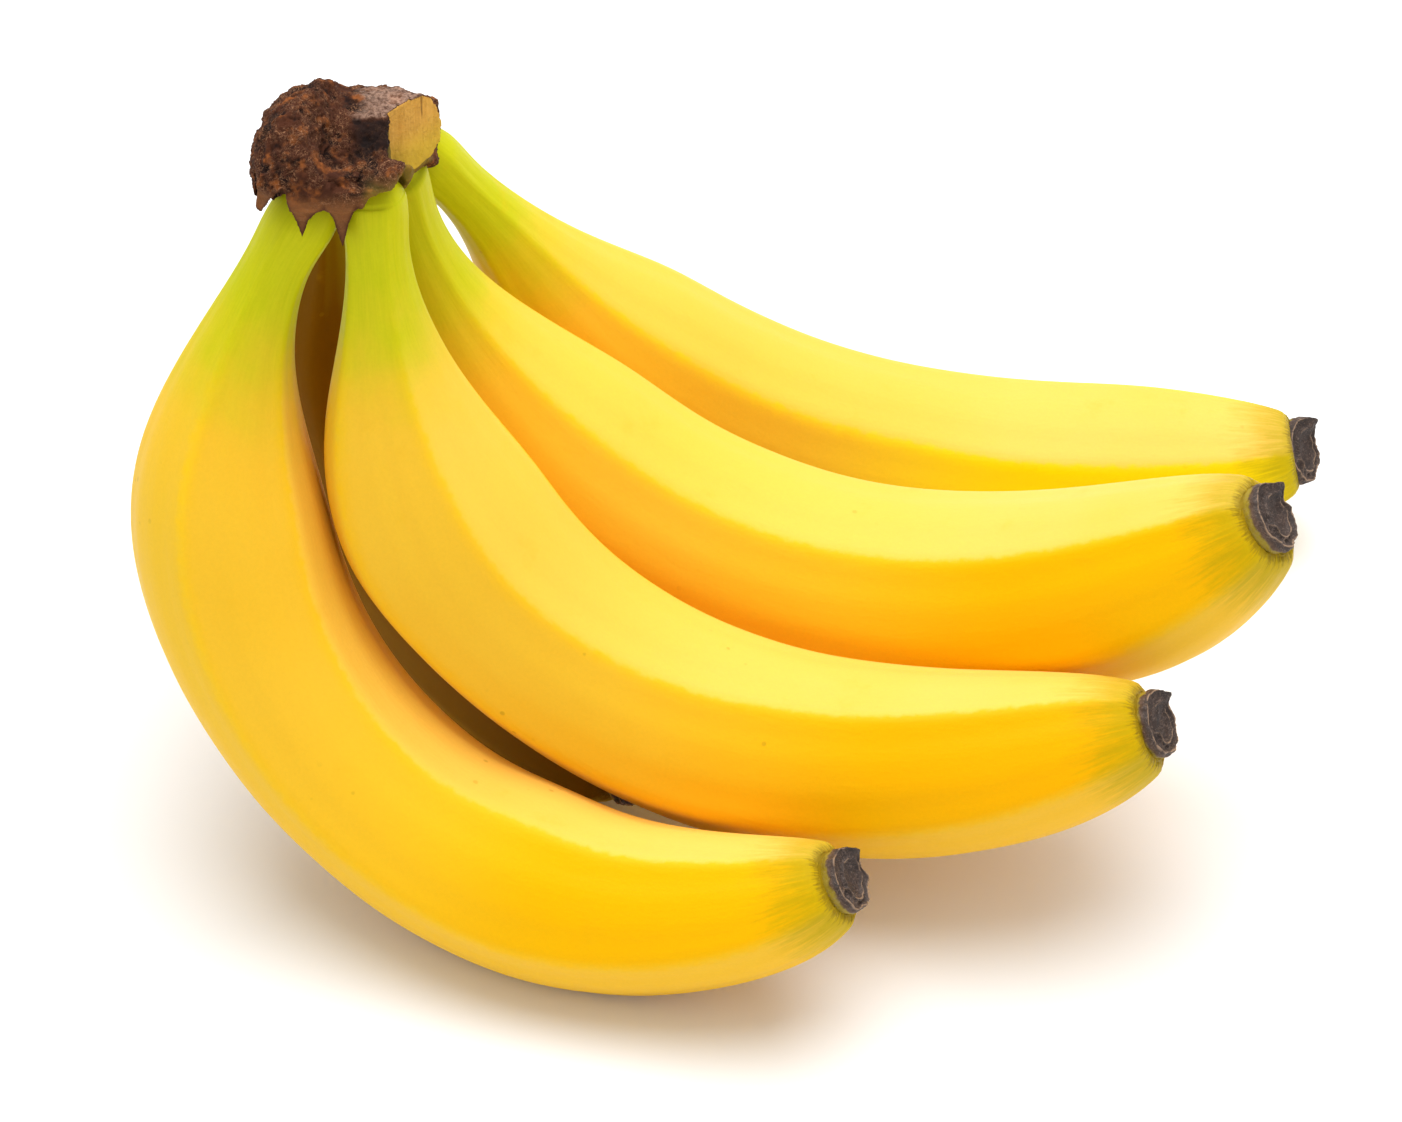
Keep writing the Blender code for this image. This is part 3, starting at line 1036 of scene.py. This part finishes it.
# %% The parts of the crown
# Where the hollow in front of the block is painted black as shade.
SHADE_POCKET_X, SHADE_POCKET_Y, SHADE_POCKET_WIDE = -70.5, -7.5, 5.0
RAG_EDGE_WIDE = 0.55

points = points_of(crown.data) / MM
normals = normals_of(crown.data)
x, y, z = points.T
proud = (points - FACE_EDGE) @ FACE_OUT
along_face = (points - FACE_EDGE) @ FACE_ALONG
fresh = (abs(proud) < 0.5) & (normals @ FACE_OUT > 0.80) & (along_face > 0.1) & (y > -3)
fresh = fresh * ramp(z, 138.6, 139.6)
olive = hill(proud + 1, 4) * ramp(z, 142.5, 139.5) * ramp(along_face, -2, 0)
olive = np.maximum(olive, 0.8 * ramp(x, -73, -70) * ramp(z, 152, 150) * (y < 0))
level = ramp(normals[:, 2], 0.55, 0.85) * ramp(x, -80, -69)
level = level * ramp(y, -5.5, -3.0) * ramp(y, 15, 10)
# The hollow in front of the block, which the finish paints black as shade.
shade_pocket = hill(np.hypot(x - SHADE_POCKET_X, (y - SHADE_POCKET_Y) * 0.8), SHADE_POCKET_WIDE) * (1 - level)
rag = ramp(z, 151.5, 147.0) * (y < -14)
rag_x, rag_z = np.array(RAGS).T
slope = np.interp(x, rag_x[1:], abs(np.diff(rag_z) / np.diff(rag_x)))
edge = (z - np.interp(x, rag_x, rag_z)) / np.sqrt(1 + slope * slope)
rag_edge = rag * hill(edge, RAG_EDGE_WIDE)
print("points on the cut face:", int((fresh > 0.5).sum()), "and on rags:",
      int((rag > 0.5).sum()))

# %% [markdown]
# Dried bark is rough at every size, so three noises push the points in and out, from
# coarse lumps through crags to fine fibres. The cut face stays flat, the rags stay thin
# and the level top stays nearly level. This is real relief, because the crown's outline
# shows it, which bump in the finish could not do.

# %% Rough bark
LUMP_SIZE, CRAG_SIZE, FIBRE_SIZE = 7.0, 2.4, 1.1
LUMP_PUSH, CRAG_PUSH, FIBRE_PUSH = 0.70, 0.55, 0.35
PUSH_BACK = 0.25
CUT_PUSH = 0.05


def many(points, size, octaves, shift=0):
    """Fractal noise at each point; size is the width of its lumps in mm."""
    start = Vector((shift, -shift, 2 * shift))
    return np.array([noise.fractal(Vector(p) / size + start, 0.8, 2.0, octaves)
                     for p in points])


lumps = many(points, LUMP_SIZE, 2)
crags = many(points, CRAG_SIZE, 3, 5)
fibre = 1 - np.abs(many(points, FIBRE_SIZE, 2, 9)) * 2.2
push = LUMP_PUSH * lumps + CRAG_PUSH * crags + FIBRE_PUSH * fibre - PUSH_BACK
push = push * (1 - 0.88 * rag) * (1 - 0.35 * level) * (1 - 0.8 * olive)
push = np.where(fresh > 0.3, CUT_PUSH * crags, push)
points = points + normals * push[:, None]
# The outer rags hang back a little, following the necks.
points[:, 1] += rag * (2.2 * ramp(x, -86, -92) + 1.0 * ramp(x, -75, -72))
put_points(crown.data, points * MM)
store(crown.data, "fresh", fresh)
store(crown.data, "hollowness", -(0.8 * lumps + crags))
store(crown.data, "level", level)
store(crown.data, "olive", olive)
store(crown.data, "shade_pocket", shade_pocket)
store(crown.data, "rag", rag)
store(crown.data, "rag_edge", rag_edge)
only(crown)
bpy.ops.object.shade_smooth()
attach(crown, "root")
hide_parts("crown")
print("bark pushed by", round(float(push.min()), 2), "to", round(float(push.max()), 2), "mm")

# %% [markdown]
# The bark is red brown with patches of painted warm glow spread by noise, painted nearly
# black as shade in its hollows, and crossed by pale wisps of fibre. The rags are lighter,
# like paper, with a dark edge. The hollow in front of the block is painted black over all
# of that as shade, and the level top is a patchy grey.

# %% The bark's finish
GLOW_BROWN = rgb(0.27, 0.080, 0.018)
HOLLOW_SHADE_BLACK = rgb(0.006, 0.002, 0.002)
WISP_TAN = rgb(0.50, 0.24, 0.12)
EDGE_BROWN = rgb(0.05, 0.012, 0.006)
POCKET_SHADE_BLACK = rgb(0.006, 0.003, 0.003)
RIM_OLIVE = rgb(0.27, 0.19, 0.02)

pt = Paint("crown_bark")
place = pt.node("TexCoord").outputs["Object"]
lump = pt.noise(place, 190, 3)
crumb = pt.noise(place, 1100, 4, 0.7)
bark = pt.blend(lump, rgb(0.022, 0.006, 0.003), rgb(0.105, 0.030, 0.011))
# Painted glow: warmer red-brown patches, spread by noise.
glow = pt.between(pt.noise(place, 300, 4, 0.6), 0.50, 0.70)
bark = pt.blend(glow, bark, GLOW_BROWN)
# Painted shade: the bark's hollows are darkened nearly to black.
hollow_shade = pt.between(pt.known("hollowness"), 0.05, 0.65)
bark = pt.cover(hollow_shade, 0.85, bark, HOLLOW_SHADE_BLACK)
wisps = pt.between(pt.vein(place, 480, 1.8), 0.020, 0.003)
threads = pt.math("MULTIPLY", pt.between(pt.vein(place, 800, 2.2), 0.030, 0.005), 0.6)
wisps = pt.math("MAXIMUM", wisps, threads)
wisps = pt.math("MULTIPLY", wisps, pt.between(pt.noise(place, 240, 2), 0.35, 0.60))
bark = pt.cover(wisps, 0.75, bark, WISP_TAN)
paper = pt.blend(crumb, rgb(0.14, 0.045, 0.014), rgb(0.42, 0.17, 0.055))
bark = pt.cover(pt.known("rag"), 0.75, bark, paper)
bark = pt.cover(pt.known("rag_edge"), 0.8, bark, EDGE_BROWN)
# Painted shade: the hollow in front of the block is painted black over the bark.
pocket_ragging = pt.math("MULTIPLY_ADD", lump, 0.5, -0.25)
pocket_shade = pt.between(pt.math("ADD", pt.known("shade_pocket"), pocket_ragging), 0.25, 0.75)
pocket_shade = pt.math("MULTIPLY", pocket_shade, pt.math("MULTIPLY_ADD", crumb, -0.6, 1.1))
bark = pt.blend(pocket_shade, bark, POCKET_SHADE_BLACK)
# The level top is a patchy grey.
grey_top = pt.blend(pt.between(crumb, 0.32, 0.68), rgb(0.07, 0.034, 0.024), rgb(0.58, 0.37, 0.27))
patchy = pt.math("ADD", pt.known("level"), pt.math("MULTIPLY_ADD", lump, 1.2, -0.6))
bark = pt.cover(pt.between(patchy, 0.35, 0.95), 0.65, bark, grey_top)
bark = pt.cover(pt.known("olive"), 0.8, bark, RIM_OLIVE)
print("bark finish:", len(pt.tree.nodes), "nodes")

# %% [markdown]
# The cut face is the one fresh surface: golden wood whose grain stands upright, greener
# and paler toward its lower edge, with a few brown scratches. The grain is noise that is
# squeezed across and left long in height, the cheapest way to draw upright fibres.

# %% The cut face's finish
LOW_STRAW = rgb(0.70, 0.48, 0.035)
SCRATCH_BROWN = rgb(0.16, 0.055, 0.012)
STRAW_FROM, STRAW_TO = 0.1505, 0.1415

grains = pt.noise(pt.stretch(place, (1500, 1500, 110)), 1.0, 3, 0.6)
cut_wood = pt.blend(grains, rgb(0.60, 0.27, 0.035), rgb(0.90, 0.52, 0.11))
height = pt.node("SeparateXYZ", {0: place}).outputs[2]
cut_wood = pt.cover(pt.between(height, STRAW_FROM, STRAW_TO), 0.75, cut_wood, LOW_STRAW)
scratch = pt.between(pt.noise(pt.stretch(place, (900, 900, 60)), 1.0, 2, 0.5), 0.62, 0.70)
cut_wood = pt.cover(scratch, 0.6, cut_wood, SCRATCH_BROWN)
colour = pt.blend(pt.between(pt.known("fresh"), 0.35, 0.6), bark, cut_wood)
pt.put(pt.shader.inputs["Base Color"], colour)
pt.shader.inputs["Roughness"].default_value = 0.8
pt.shader.inputs["Specular IOR Level"].default_value = 0.15
rough_bump = pt.bump(crumb, 0.7, 0.0006)
pt.put(pt.shader.inputs["Normal"], pt.bump(wisps, 0.6, 0.0005, rough_bump))
crown.data.materials.append(pt.material)
print("crown finish:", len(pt.tree.nodes), "nodes")
